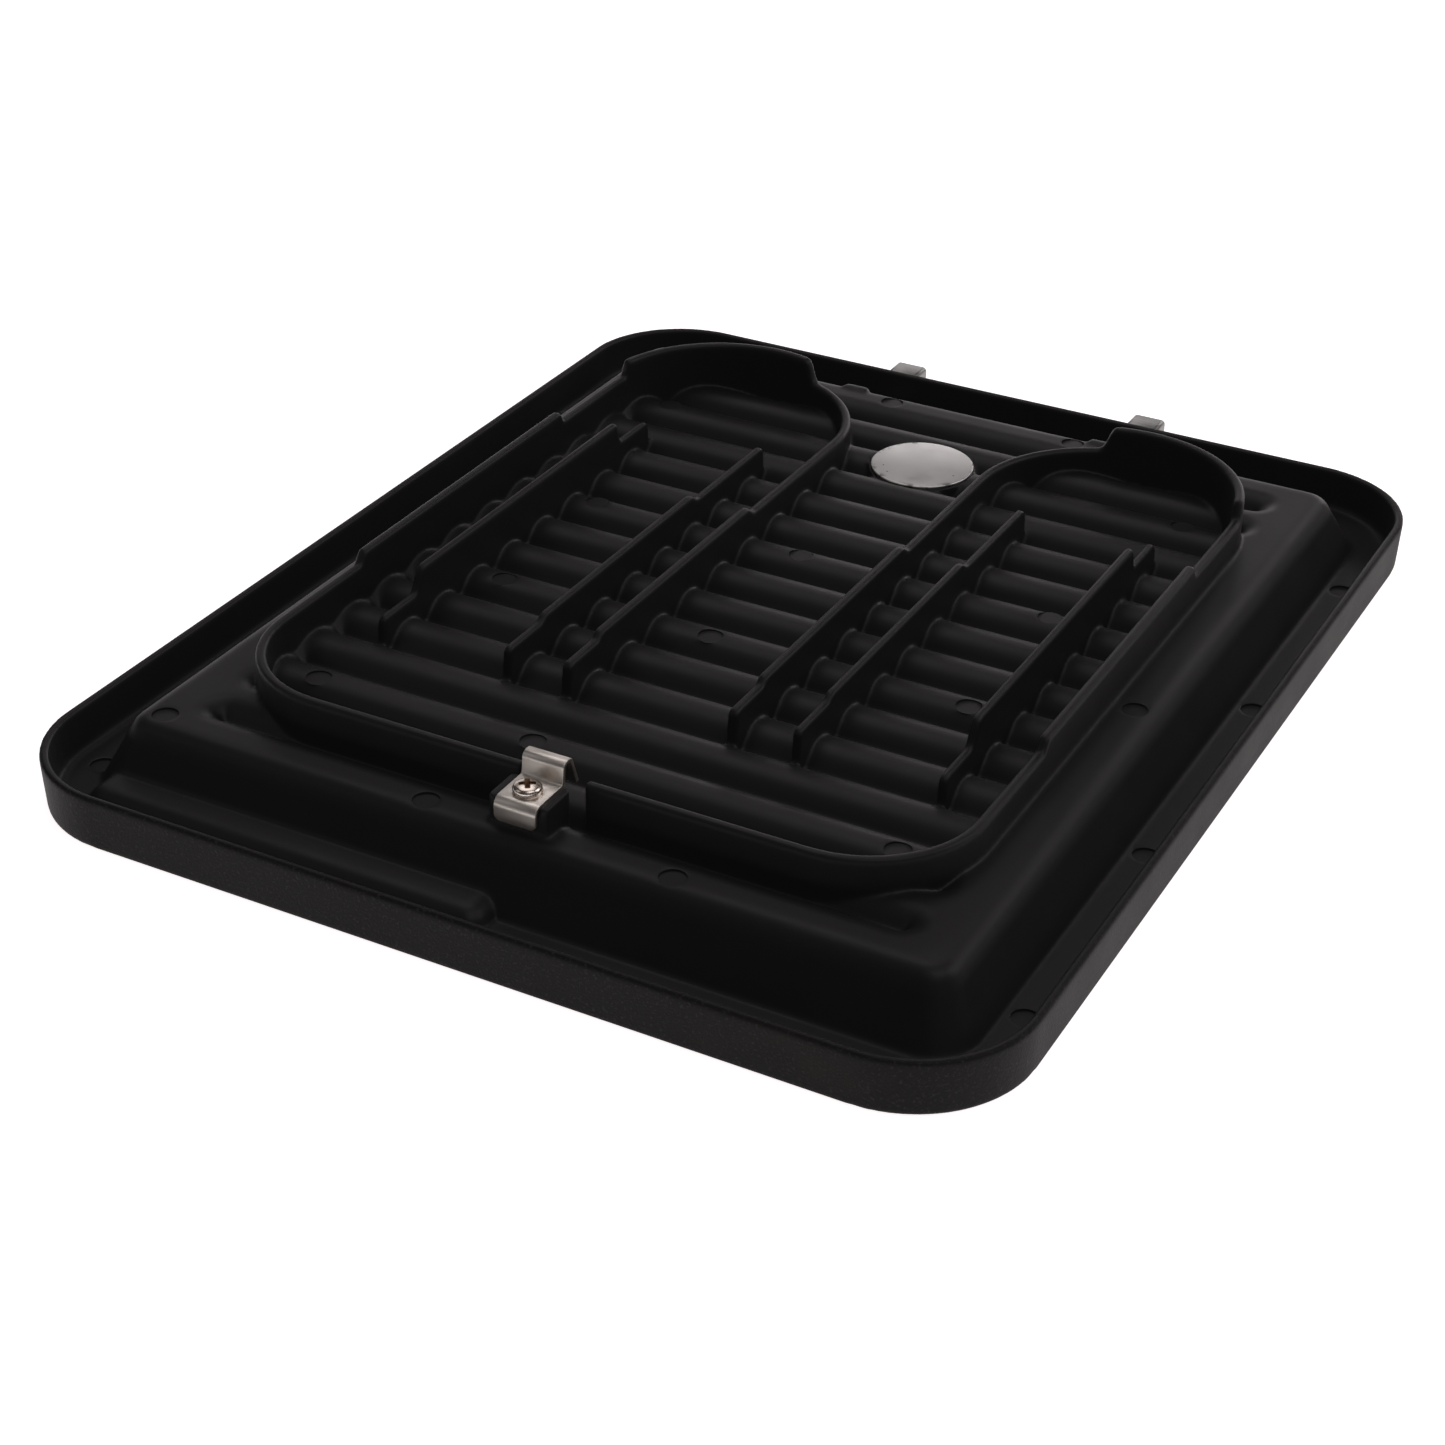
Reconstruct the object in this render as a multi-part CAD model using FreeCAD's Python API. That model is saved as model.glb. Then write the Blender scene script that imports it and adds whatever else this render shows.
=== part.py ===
import FreeCAD, Part
import math
import os

# Removable cooking plate of a contact grill, lying on its cooking-side lip with the heater side up.
# Millimetres. X runs along the clip edge, +Y towards the hook edge, +Z up, z = 0 on the resting lip.
# Sizes below are about the plate's centre; ORIGIN_Y then centres the whole part, hooks included.

# Plate outline and skirt
PLATE_X = 250.0
PLATE_Y = 306.8
SKIRT_HEIGHT = 13.9
SKIRT_DRAFT = 0.5
SKIRT_WALL = 2.3
SKIRT_ROOT_WALL = 3.2
CORNER_RADIUS = 29.2
FLOOR_TOP = 3.0
LIP_WIDTH = 4.5
LIP_DROP = 0.6
EDGE_ROUND = 0.55
TROUGH_ROUND = 2.0

# Raised platform, and the pan that it makes on the cooking side
TOP_Z = 18.75
TOP_HALF_X = 104.5
TOP_HALF_Y = 126.5
FOOT_HALF_X = 112.4
FOOT_HALF_Y = 135.6
TOP_CORNER = 6.0
FOOT_CORNER = 11.0
TOP_ROUND = 5.0
SKIN = 3.0
SKIN_SIDE = 3.3
PAN_ROUND = 2.5

# Corrugation: rounded ridges along X, one every PITCH
PITCH = 16.0
VALLEYS_EACH_SIDE = 7
VALLEY_DEPTH = 4.2
VALLEY_RADIUS = 1.3
VALLEY_HALF = 7.95
VALLEY_REACH_X = 95.5
CREST_LIFT = 0.06

# Heater seat: two mirrored loops of wall with two ribs inside each
WALL = 2.8
RIB = 2.4
WALL_ROOT_Z = 9.0
WALL_ROUND = 0.9
RAMP_STEPS = 5
LOOP_OUTER_X = 92.2
LOOP_INNER_X = 22.3
RIB_OUTER_X = 75.3
RIB_INNER_X = 38.9
LOOP_BACK_Y = 78.0
LOOP_FRONT_Y = -109.8
FRONT_CORNER_RADIUS = 28.5
FRONT_GAP_LEFT = -6.4
FRONT_GAP_RIGHT = 9.8
OUTER_LOW = 27.1
OUTER_HIGH = 30.2
INNER_LOW = 25.0
INNER_HIGH = 27.4
HUMP_Z = 31.6
HUMP_START_DEG = 169.0
HUMP_RAMP_DEG = 3.0
HUMP_END_DEG = 73.5
HUMP_TAIL_DEG = 66.8

# Steps along the tops of the straight walls, as level stretches (y_from, y_to, top)
OUTER_WALL_TOPS = [(LOOP_FRONT_Y + FRONT_CORNER_RADIUS, -50.0, OUTER_LOW), (-47.0, 47.0, OUTER_HIGH),
                   (49.0, LOOP_BACK_Y, OUTER_LOW)]
INNER_WALL_TOPS = [(-63.3, -52.3, 25.6), (-48.9, 25.0, INNER_HIGH), (29.9, LOOP_BACK_Y, INNER_LOW)]
OUTER_RIB_TOPS = [(-62.9, -51.0, 23.6), (-46.3, 49.0, 30.0), (51.5, 64.7, 23.8)]
INNER_RIB_TOPS = [(-63.3, -50.8, 25.3), (-47.2, 25.0, 26.9), (30.0, 64.7, 24.6)]

# Free ends of walls: nearly upright, with a round top corner
END_FOOT_Z = 14.0
END_DRAFT = 0.6
END_ROUND = 2.0
END_ROUND_STEPS = 5

# Clip boss and front clip
STRIP_WIDTH = 10.7
SHEET = 1.0
SEAT_Z = 25.3
CHEEK_TOP_Z = 26.0
CHEEK_GAP = 0.3
CHEEK = 2.0
BOSS_FRONT_Y = -123.3
BOSS_BACK_Y = -112.9
BOSS_CORNER = 0.9
BOSS_NOSE = 1.5
CLIP_LIP_Z = 20.6
CLIP_LIP_GAP = 0.1
CLIP_LIP_CORNER = 1.5
CLIP_RISER = [(-112.2, SEAT_Z + SHEET / 2), (-111.6, 31.0)]
CLIP_CREST_END = (-108.9, 31.0)
CLIP_LEG_END = (-106.3, 23.8)
CLIP_BENDS = [1.8, 1.2, 1.25, 1.25]

# Screws: M3.5 pan head with a cross recess
SCREW_HEAD_RADIUS = 3.4
SCREW_HEAD_HEIGHT = 2.4
SCREW_DOME_DROP = 0.75
SCREW_HEAD_ROUND = 1.1
RECESS_SPAN = 4.2
RECESS_ROOT_SPAN = 1.8
RECESS_WING = 1.0
RECESS_DEPTH = 1.7
RECESS_CENTRE = 0.95
RECESS_TURN = 33.0
SCREW_SHANK_RADIUS = 1.72
SCREW_HOLE_RADIUS = 1.77
SCREW_CLEAR_RADIUS = 1.95
CLIP_SCREW_Y = -118.7
CLIP_SCREW_LENGTH = 8.0

# Sensor contact disc
DISC_Y = 88.6
DISC_RADIUS = 14.2
DISC_SEAT_Z = 17.2
DISC_TOP_Z = 18.85
DISC_CHAMFER = 0.25
DISC_GAP = 0.05
DISC_BOSS_RADIUS = 14.7
DISC_BOSS_TOP = 18.45

# Hooks at the back edge: a neck screwed down in the trough, a step up outside, and a folded tongue
HOOK_X = 38.3
NECK_WIDTH = 7.2
NECK_TOP_Z = 5.2
NECK_START_Y = 136.8
HOOK_STEP_Y = 155.6
HOOK_BENDS = [1.2, 1.2]
TONGUE_WIDTH = 9.6
TONGUE_FLANGE = 3.3
TONGUE_TOP_Z = 10.9
TONGUE_START_Y = 157.4
TONGUE_TIP_Y = 165.6
TONGUE_CORNER = 1.2
HOOK_SCREW_Y = 141.5
HOOK_SCREW_LENGTH = 3.5
PEDESTAL_WIDTH = 9.6
PEDESTAL_Y = (131.0, 146.5)
BUTTRESS_WIDTH = 7.2
BUTTRESS = [
    (123.5, 14.0), (123.9, 18.9), (125.5, 19.4), (127.3, 19.0), (136.0, 4.2), (136.0, 1.5), (131.0, 1.5),
]
SLOT_CLEARANCE = 0.4
SLOT_Y = (148.0, 156.0)
SCREW_TIP_GAP = 0.2

# Drip channel along the front skirt, raised on this side
CHANNEL_LEFT_X = -107.5
CHANNEL_RIGHT_X = 1.5
CHANNEL_TOP_Z = 7.4
CHANNEL_FRONT_Y = -143.6
CHANNEL_BACK_Y = -130.0
CHANNEL_SKIN = 2.4
CHANNEL_ROUND = 5.4
CHANNEL_INNER_ROUND = 2.0

# Ejector marks: flat discs where the casting was pushed out of its die
MARK_RADIUS = 3.15
MARK_DEPTH = 0.35
BORDER_MARKS = [(-98, -121), (-24.5, -122.3), (38.5, -122.5), (99.5, -7.5), (-25, 122.3), (31, 122.3)]
RIDGE_MARKS = [
    (-77, -89), (-17, -89), (76, -89), (-65, -24.5), (-5, -25), (64.5, -25),
    (-66.5, 25), (-5, 24.5), (64.5, 25), (-80, 89.5), (76, 89),
]
FLOOR_MARKS = [(116.8, 103.6), (116.8, 32.4), (116.8, -41.9), (116.8, -112), (-113.8, -126.6)]

ORIGIN_Y = -(TONGUE_TIP_Y - PLATE_Y / 2) / 2


def vec(x, y, z):
    return FreeCAD.Vector(x, y, z)


def fuse(first, *others):
    """One clean solid from overlapping solids."""
    return first.fuse(list(others)).removeSplitter()


def mirrored(shape):
    """The same shape on the other side of the plate's centre plane."""
    return shape.mirror(vec(0, 0, 0), vec(1, 0, 0))


def box(x, y, z):
    """A box from three (low, high) pairs."""
    return Part.makeBox(x[1] - x[0], y[1] - y[0], z[1] - z[0], vec(x[0], y[0], z[0]))


def cylinder(x, y, z_low, z_high, radius):
    return Part.makeCylinder(radius, z_high - z_low, vec(x, y, z_low))


def rounded_rectangle(half_x, half_y, radius, z):
    """Closed wire: a rectangle about the plate's centre with round corners, at height z."""
    edges = []
    corners = [(1, -1, -45), (1, 1, 45), (-1, 1, 135), (-1, -1, 225)]
    arcs = []
    for sx, sy, middle in corners:
        centre = vec(sx * (half_x - radius), sy * (half_y - radius), z)
        angles = [math.radians(middle + step) for step in (-45, 0, 45)]
        arcs.append([centre + vec(radius * math.cos(a), radius * math.sin(a), 0) for a in angles])
    for index, arc in enumerate(arcs):
        edges.append(Part.Arc(*arc).toShape())
        edges.append(Part.LineSegment(arc[2], arcs[(index + 1) % 4][0]).toShape())
    return Part.Wire(edges)


def tapered_block(low, high):
    """Solid between two rounded rectangles, each (half_x, half_y, radius, z)."""
    return Part.makeLoft([rounded_rectangle(*low), rounded_rectangle(*high)], True, True)


def edges_at(shape, z):
    """Edges that lie wholly at height z."""
    picked = []
    for edge in shape.Edges:
        b = edge.BoundBox
        if abs(b.ZMin - z) < 1e-4 and abs(b.ZMax - z) < 1e-4:
            picked.append(edge)
    return picked


def polygon_prism(points_yz, x_low, x_high):
    """Extrude a closed outline of (y, z) points along X."""
    corners = [vec(x_low, y, z) for y, z in points_yz]
    face = Part.Face(Part.makePolygon(corners + corners[:1]))
    return face.extrude(vec(x_high - x_low, 0, 0))


# ---- the casting -------------------------------------------------------------------------------


def skirt_and_floor():
    """Outer skirt with rounded edges, and the trough floor inside it."""
    half_x = PLATE_X / 2
    half_y = PLATE_Y / 2

    def level(inset, corner_inset, z):
        return (half_x - inset, half_y - inset, CORNER_RADIUS - corner_inset, z)

    body = tapered_block(level(SKIRT_DRAFT, 0, 0), level(0, 0, SKIRT_HEIGHT))
    trough_low = level(SKIRT_ROOT_WALL, SKIRT_ROOT_WALL, FLOOR_TOP)
    trough = tapered_block(trough_low, level(SKIRT_WALL, SKIRT_WALL, SKIRT_HEIGHT))
    trough = trough.makeFillet(TROUGH_ROUND, edges_at(trough, FLOOR_TOP))
    body = body.cut(trough)
    body = body.makeFillet(EDGE_ROUND, edges_at(body, SKIRT_HEIGHT) + edges_at(body, 0))
    inset = SKIRT_DRAFT + LIP_WIDTH
    relief = tapered_block(level(inset, LIP_WIDTH, -1), level(inset, LIP_WIDTH, LIP_DROP))
    return body.cut(relief)


def valley_profile():
    """Half section of a valley, from its centre out to the crest, as edges in the YZ plane at z = 0."""
    drop = VALLEY_DEPTH + CREST_LIFT
    half_turn = math.atan(drop / VALLEY_HALF)
    turn = 2 * half_turn
    crest_radius = VALLEY_HALF / math.sin(turn) - VALLEY_RADIUS
    bottom_centre = vec(0, 0, -VALLEY_DEPTH + VALLEY_RADIUS)
    crest_centre = vec(0, VALLEY_HALF, CREST_LIFT - crest_radius)

    def on_bottom(angle):
        return bottom_centre + vec(0, VALLEY_RADIUS * math.sin(angle), -VALLEY_RADIUS * math.cos(angle))

    def on_crest(angle):
        return crest_centre + vec(0, -crest_radius * math.sin(angle), crest_radius * math.cos(angle))

    bottom = Part.Arc(on_bottom(0), on_bottom(half_turn), on_bottom(turn)).toShape()
    crest = Part.Arc(on_bottom(turn), on_crest(half_turn), on_crest(0)).toShape()
    return bottom, crest, on_crest(0)


def valley_tool():
    """One valley as a solid: a long groove with a round end at each side."""
    bottom, crest, rim = valley_profile()
    top = vec(0, rim.y, 1)
    middle = vec(0, 0, 1)
    side = Part.LineSegment(rim, top).toShape()
    lid = Part.LineSegment(top, middle).toShape()
    axis = Part.LineSegment(middle, vec(0, 0, -VALLEY_DEPTH)).toShape()
    half = Part.Face(Part.Wire([bottom, crest, side, lid, axis]))
    run = VALLEY_REACH_X - VALLEY_HALF
    right_half = half.extrude(vec(2 * run, 0, 0))
    left_half = right_half.mirror(vec(0, 0, 0), vec(0, 1, 0))
    left_end = half.revolve(vec(0, 0, 0), vec(0, 0, 1), 180)
    right_end = half.revolve(vec(0, 0, 0), vec(0, 0, 1), -180)
    right_end.translate(vec(2 * run, 0, 0))
    tool = fuse(right_half, left_half, left_end, right_end)
    tool.translate(vec(-run, 0, TOP_Z))
    return tool


def valleys(drop):
    """Every valley, lowered by drop."""
    tool = valley_tool()
    grooves = []
    for index in range(-VALLEYS_EACH_SIDE, VALLEYS_EACH_SIDE + 1):
        groove = tool.copy()
        groove.translate(vec(0, PITCH * index, -drop))
        grooves.append(groove)
    return grooves


def platform():
    """The raised block, solid for now, with its top edge rounded and its valleys cut."""
    foot = (FOOT_HALF_X, FOOT_HALF_Y, FOOT_CORNER, FLOOR_TOP)
    block = tapered_block(foot, (TOP_HALF_X, TOP_HALF_Y, TOP_CORNER, TOP_Z))
    block = block.makeFillet(TOP_ROUND, edges_at(block, TOP_Z))
    base = tapered_block((FOOT_HALF_X, FOOT_HALF_Y, FOOT_CORNER, LIP_DROP), foot)
    return block.cut(valleys(0)).fuse(base).removeSplitter()


def pan():
    """The cooking-side hollow under the platform, with grill ribs left standing in it."""
    slope_x = (FOOT_HALF_X - TOP_HALF_X) / (TOP_Z - FLOOR_TOP)
    slope_y = (FOOT_HALF_Y - TOP_HALF_Y) / (TOP_Z - FLOOR_TOP)

    def level(z, radius):
        half_x = FOOT_HALF_X - (z - FLOOR_TOP) * slope_x - SKIN_SIDE
        half_y = FOOT_HALF_Y - (z - FLOOR_TOP) * slope_y - SKIN_SIDE
        return (half_x, half_y, radius, z)

    hollow = tapered_block(level(-1, FOOT_CORNER - 1), level(TOP_Z - SKIN, TOP_CORNER))
    hollow = hollow.makeFillet(PAN_ROUND, edges_at(hollow, TOP_Z - SKIN))
    return hollow.cut(valleys(SKIN))


def wall_section(x, y, across, thickness, top):
    """Upright wall outline at (x, y): flat sides, round top edges. across is the way through the wall."""
    half = thickness / 2
    bend = WALL_ROUND * (1 - math.sqrt(0.5))

    def at(u, z):
        return vec(x + u * across[0], y + u * across[1], z)

    shoulder = top - WALL_ROUND
    inner = half - WALL_ROUND
    edges = [
        Part.LineSegment(at(-half, WALL_ROOT_Z), at(half, WALL_ROOT_Z)).toShape(),
        Part.LineSegment(at(half, WALL_ROOT_Z), at(half, shoulder)).toShape(),
        Part.Arc(at(half, shoulder), at(half - bend, top - bend), at(inner, top)).toShape(),
        Part.LineSegment(at(inner, top), at(-inner, top)).toShape(),
        Part.Arc(at(-inner, top), at(-half + bend, top - bend), at(-half, shoulder)).toShape(),
        Part.LineSegment(at(-half, shoulder), at(-half, WALL_ROOT_Z)).toShape(),
    ]
    return Part.Wire(edges)


def ramp(start, stop):
    """Points of a smooth change of height between two (place, height) pairs, without the pairs themselves."""
    points = []
    for step in range(1, RAMP_STEPS):
        share = step / RAMP_STEPS
        ease = (1 - math.cos(math.pi * share)) / 2
        points.append((start[0] + (stop[0] - start[0]) * share, start[1] + (stop[1] - start[1]) * ease))
    return points


def free_end(y, way, top):
    """Stations of a free wall end, from its foot, way (1 or -1) along Y, to the level top beginning at y."""
    stations = [(y - way * (END_DRAFT + END_ROUND), END_FOOT_Z)]
    for step in range(END_ROUND_STEPS):
        angle = math.pi / 2 * step / END_ROUND_STEPS
        stations.append((y - way * END_ROUND * math.cos(angle), top - END_ROUND * (1 - math.sin(angle))))
    return stations


def wall_stations(tops, front_free, back_free):
    """(y, top) stations along a wall from its level stretches, with smooth ramps and round free ends."""
    stations = []
    if front_free:
        stations += free_end(tops[0][0], 1, tops[0][2])
    for index, (start, stop, top) in enumerate(tops):
        if index:
            stations += ramp(stations[-1], (start, top))
        stations += [(start, top), (stop, top)]
    if back_free:
        stations += reversed(free_end(tops[-1][1], -1, tops[-1][2]))
    return stations


def straight_wall(x, tops, thickness, front_free=True, back_free=True):
    """Wall along Y at x, with the given level stretches."""
    stations = wall_stations(tops, front_free, back_free)
    sections = [wall_section(x, y, (1, 0), thickness, top) for y, top in stations]
    return Part.makeLoft(sections, True, True)


def cross_wall(y, x_low, x_high, top):
    """Level wall along X."""
    face = Part.Face(wall_section(x_low, y, (0, 1), WALL, top))
    return face.extrude(vec(x_high - x_low, 0, 0))


def arc_wall(centre, radius, start, stop, top):
    """Level wall round part of a circle, from start to stop degrees."""
    a = math.radians(start)
    across = (math.cos(a), math.sin(a))
    x = centre[0] + radius * across[0]
    y = centre[1] + radius * across[1]
    face = Part.Face(wall_section(x, y, across, WALL, top))
    return face.revolve(vec(centre[0], centre[1], 0), vec(0, 0, 1), stop - start)


def arc_ramp(centre, radius, start, stop, top_start, top_stop):
    """Short stretch of curved wall whose top changes height smoothly."""
    ends = ((start, top_start), (stop, top_stop))
    sections = []
    for degrees, top in [ends[0]] + ramp(*ends) + [ends[1]]:
        a = math.radians(degrees)
        across = (math.cos(a), math.sin(a))
        sections.append(wall_section(centre[0] + radius * across[0], centre[1] + radius * across[1],
                                     across, WALL, top))
    return Part.makeLoft(sections, True, True)


def loop_walls():
    """The left loop of the heater seat with its two ribs, except the front wall."""
    back = (-(LOOP_OUTER_X + LOOP_INNER_X) / 2, LOOP_BACK_Y)
    back_radius = (LOOP_OUTER_X - LOOP_INNER_X) / 2
    front = (-(LOOP_OUTER_X - FRONT_CORNER_RADIUS), LOOP_FRONT_Y + FRONT_CORNER_RADIUS)
    hump_foot = HUMP_START_DEG + HUMP_RAMP_DEG
    return [
        straight_wall(-LOOP_OUTER_X, OUTER_WALL_TOPS, WALL, front_free=False, back_free=False),
        straight_wall(-LOOP_INNER_X, INNER_WALL_TOPS, WALL, back_free=False),
        straight_wall(-RIB_OUTER_X, OUTER_RIB_TOPS, RIB),
        straight_wall(-RIB_INNER_X, INNER_RIB_TOPS, RIB),
        arc_wall(front, FRONT_CORNER_RADIUS, 180, 270, OUTER_LOW),
        arc_wall(back, back_radius, hump_foot, 180, OUTER_LOW),
        arc_ramp(back, back_radius, HUMP_START_DEG, hump_foot, HUMP_Z, OUTER_LOW),
        arc_wall(back, back_radius, HUMP_END_DEG, HUMP_START_DEG, HUMP_Z),
        arc_ramp(back, back_radius, HUMP_TAIL_DEG, HUMP_END_DEG, INNER_LOW, HUMP_Z),
        arc_wall(back, back_radius, 0, HUMP_TAIL_DEG, INNER_LOW),
    ]


def heater_seat():
    """Both loops and the front wall, which is open where the clip stands."""
    walls = loop_walls()
    walls += [mirrored(wall) for wall in walls]
    corner_x = LOOP_OUTER_X - FRONT_CORNER_RADIUS
    walls.append(cross_wall(LOOP_FRONT_Y, -corner_x, FRONT_GAP_LEFT, OUTER_LOW))
    walls.append(cross_wall(LOOP_FRONT_Y, FRONT_GAP_RIGHT, corner_x, OUTER_LOW))
    return walls


def clip_boss():
    """Block under the clip, with a cheek at each side that keeps the strip from turning."""
    seat = STRIP_WIDTH / 2 + CHEEK_GAP
    half = seat + CHEEK
    block = box((-half, half), (BOSS_FRONT_Y, BOSS_BACK_Y), (WALL_ROOT_Z, CHEEK_TOP_Z))
    uprights = [e for e in block.Edges if e.BoundBox.ZLength > CHEEK_TOP_Z - WALL_ROOT_Z - 0.01]
    block = block.makeFillet(BOSS_CORNER, uprights)
    beyond = 1.0
    over_seat = [
        (BOSS_BACK_Y + beyond, SEAT_Z), (BOSS_FRONT_Y + BOSS_NOSE, SEAT_Z),
        (BOSS_FRONT_Y - beyond, SEAT_Z - BOSS_NOSE - beyond),
        (BOSS_FRONT_Y - beyond, CHEEK_TOP_Z + beyond), (BOSS_BACK_Y + beyond, CHEEK_TOP_Z + beyond),
    ]
    return block.cut(polygon_prism(over_seat, -seat, seat))


def hook_pedestal():
    """Left pedestal in the back trough, with the buttress that ties it to the platform's edge."""
    half = PEDESTAL_WIDTH / 2
    base = box((-HOOK_X - half, -HOOK_X + half), PEDESTAL_Y, (FLOOR_TOP / 2, NECK_TOP_Z - SHEET))
    half = BUTTRESS_WIDTH / 2
    return fuse(base, polygon_prism(BUTTRESS, -HOOK_X - half, -HOOK_X + half))


def channel_block(left, right, front, back, top, root, round_edge):
    """Half-round bar along X with a round right end: the outside or the inside of the drip channel."""
    bar = box((left, right), (front, back), (root, top))
    picked = []
    for edge in bar.Edges:
        b = edge.BoundBox
        on_top_front = b.XLength > 5 and b.ZMin > top - 0.01 and b.YMax < front + 0.01
        on_end = b.ZLength < 0.01 and b.YLength > 5 and b.ZMin > top - 0.01
        upright = b.ZLength > 3 and b.YMax < front + 0.01
        if on_top_front or on_end or upright:
            picked.append(edge)
    return bar.makeFillet(round_edge, picked)


def drip_channel():
    return channel_block(
        CHANNEL_LEFT_X, CHANNEL_RIGHT_X, CHANNEL_FRONT_Y, CHANNEL_BACK_Y,
        CHANNEL_TOP_Z, LIP_DROP, CHANNEL_ROUND,
    )


def drip_channel_hollow():
    """Inside of the channel, open below and joined to the pan."""
    return channel_block(
        CHANNEL_LEFT_X + CHANNEL_SKIN, CHANNEL_RIGHT_X - CHANNEL_SKIN,
        CHANNEL_FRONT_Y + CHANNEL_SKIN, -FOOT_HALF_Y + SKIN_SIDE + 2,
        CHANNEL_TOP_Z - CHANNEL_SKIN, -1, CHANNEL_INNER_ROUND,
    )


def hook_slot():
    """Window through the skirt for the left hook's neck."""
    half = NECK_WIDTH / 2 + SLOT_CLEARANCE
    low = NECK_TOP_Z - SHEET - SLOT_CLEARANCE
    return box((-HOOK_X - half, -HOOK_X + half), SLOT_Y, (low, NECK_TOP_Z + SLOT_CLEARANCE))


def screw_hole(x, y, seat_z, length):
    """Blind hole for a screw whose head rests at seat_z."""
    return cylinder(x, y, seat_z - length - SCREW_TIP_GAP, seat_z, SCREW_HOLE_RADIUS)


def mark_cuts(places, face_z):
    return [cylinder(x, y, face_z - MARK_DEPTH, face_z + 1, MARK_RADIUS) for x, y in places]


def plate_casting():
    """The whole casting: skirt, platform, heater seat, bosses and drip channel, hollow below."""
    added = [platform(), clip_boss(), drip_channel(), hook_pedestal(), mirrored(hook_pedestal())]
    added += heater_seat()
    added.append(cylinder(0, DISC_Y, WALL_ROOT_Z, DISC_BOSS_TOP, DISC_BOSS_RADIUS))
    pad_top = TOP_Z - MARK_DEPTH
    added += [cylinder(x, y, TOP_Z - SKIN, pad_top, MARK_RADIUS) for x, y in RIDGE_MARKS]
    body = skirt_and_floor()
    body = body.fuse(added)
    cuts = [pan(), drip_channel_hollow(), hook_slot(), mirrored(hook_slot())]
    cuts.append(cylinder(0, DISC_Y, DISC_SEAT_Z, TOP_Z + 1, DISC_RADIUS + DISC_GAP))
    cuts.append(screw_hole(0, CLIP_SCREW_Y, SEAT_Z + SHEET, CLIP_SCREW_LENGTH))
    for x in (-HOOK_X, HOOK_X):
        cuts.append(screw_hole(x, HOOK_SCREW_Y, NECK_TOP_Z, HOOK_SCREW_LENGTH))
    cuts += mark_cuts(BORDER_MARKS + RIDGE_MARKS, TOP_Z) + mark_cuts(FLOOR_MARKS, FLOOR_TOP)
    return body.cut(cuts).removeSplitter()


# ---- the loose pieces --------------------------------------------------------------------------


def sensor_disc():
    """Bare metal contact face for the thermostat."""
    disc = cylinder(0, DISC_Y, DISC_SEAT_Z, DISC_TOP_Z, DISC_RADIUS)
    return disc.makeChamfer(DISC_CHAMFER, edges_at(disc, DISC_TOP_Z))


def offset_corner(before, corner, after, distance):
    """The corner of a bent line shifted sideways by distance (left of the way along it)."""
    way_in = (corner - before).normalize()
    way_out = (after - corner).normalize()
    left_in = vec(0, -way_in.z, way_in.y)
    left_out = vec(0, -way_out.z, way_out.y)
    middle = (left_in + left_out).normalize()
    return corner + middle * (distance / middle.dot(left_in))


def rounded_line(points, radii):
    """Edges along points, with an arc of radii[i] at each inner point."""
    edges = []
    start = points[0]
    for before, corner, after, radius in zip(points, points[1:], points[2:], radii):
        way_in = (before - corner).normalize()
        way_out = (after - corner).normalize()
        half = math.acos(max(-1.0, min(1.0, way_in.dot(way_out)))) / 2
        reach = radius / math.tan(half)
        centre = corner + (way_in + way_out).normalize() * (radius / math.sin(half))
        arc_middle = centre + (corner - centre).normalize() * radius
        arc_start = corner + way_in * reach
        arc_end = corner + way_out * reach
        edges.append(Part.LineSegment(start, arc_start).toShape())
        edges.append(Part.Arc(arc_start, arc_middle, arc_end).toShape())
        start = arc_end
    edges.append(Part.LineSegment(start, points[-1]).toShape())
    return edges


def bent_strip(points_yz, bends, width):
    """Sheet-metal strip: its middle line bends at each inner point of points_yz, with the radii in bends."""
    line = [vec(0, y, z) for y, z in points_yz]
    sides = []
    for distance in (SHEET / 2, -SHEET / 2):
        shifted = []
        radii = []
        for index, point in enumerate(line):
            if index in (0, len(line) - 1):
                other = line[1] if index == 0 else line[-2]
                way = (other - point).normalize() * (1 if index == 0 else -1)
                shifted.append(point + vec(0, -way.z, way.y) * distance)
                continue
            before = line[index - 1]
            after = line[index + 1]
            shifted.append(offset_corner(before, point, after, distance))
            turn = (point - before).cross(after - point).x
            radii.append(bends[index - 1] - math.copysign(distance, distance * turn))
        sides.append((shifted, radii))
    near = rounded_line(*sides[0])
    far = rounded_line(*sides[1])
    caps = [
        Part.LineSegment(sides[0][0][0], sides[1][0][0]).toShape(),
        Part.LineSegment(sides[0][0][-1], sides[1][0][-1]).toShape(),
    ]
    face = Part.Face(Part.Wire(Part.__sortEdges__(near + far + caps)))
    strip = face.extrude(vec(width, 0, 0))
    strip.translate(vec(-width / 2, 0, 0))
    return strip


def front_clip():
    """Latch keeper: lip over the boss, flat under the screw, upright step, crest and a free leg."""
    lip_y = BOSS_FRONT_Y - SHEET / 2 - CLIP_LIP_GAP
    points = [(lip_y, CLIP_LIP_Z), (lip_y, SEAT_Z + SHEET / 2)] + CLIP_RISER + [CLIP_CREST_END, CLIP_LEG_END]
    strip = bent_strip(points, CLIP_BENDS, STRIP_WIDTH)
    corners = [e for e in edges_at(strip, CLIP_LIP_Z) if e.BoundBox.XLength < 0.01]
    strip = strip.makeFillet(CLIP_LIP_CORNER, corners)
    return strip.cut(cylinder(0, CLIP_SCREW_Y, SEAT_Z - 1, SEAT_Z + SHEET + 1, SCREW_CLEAR_RADIUS))


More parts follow.
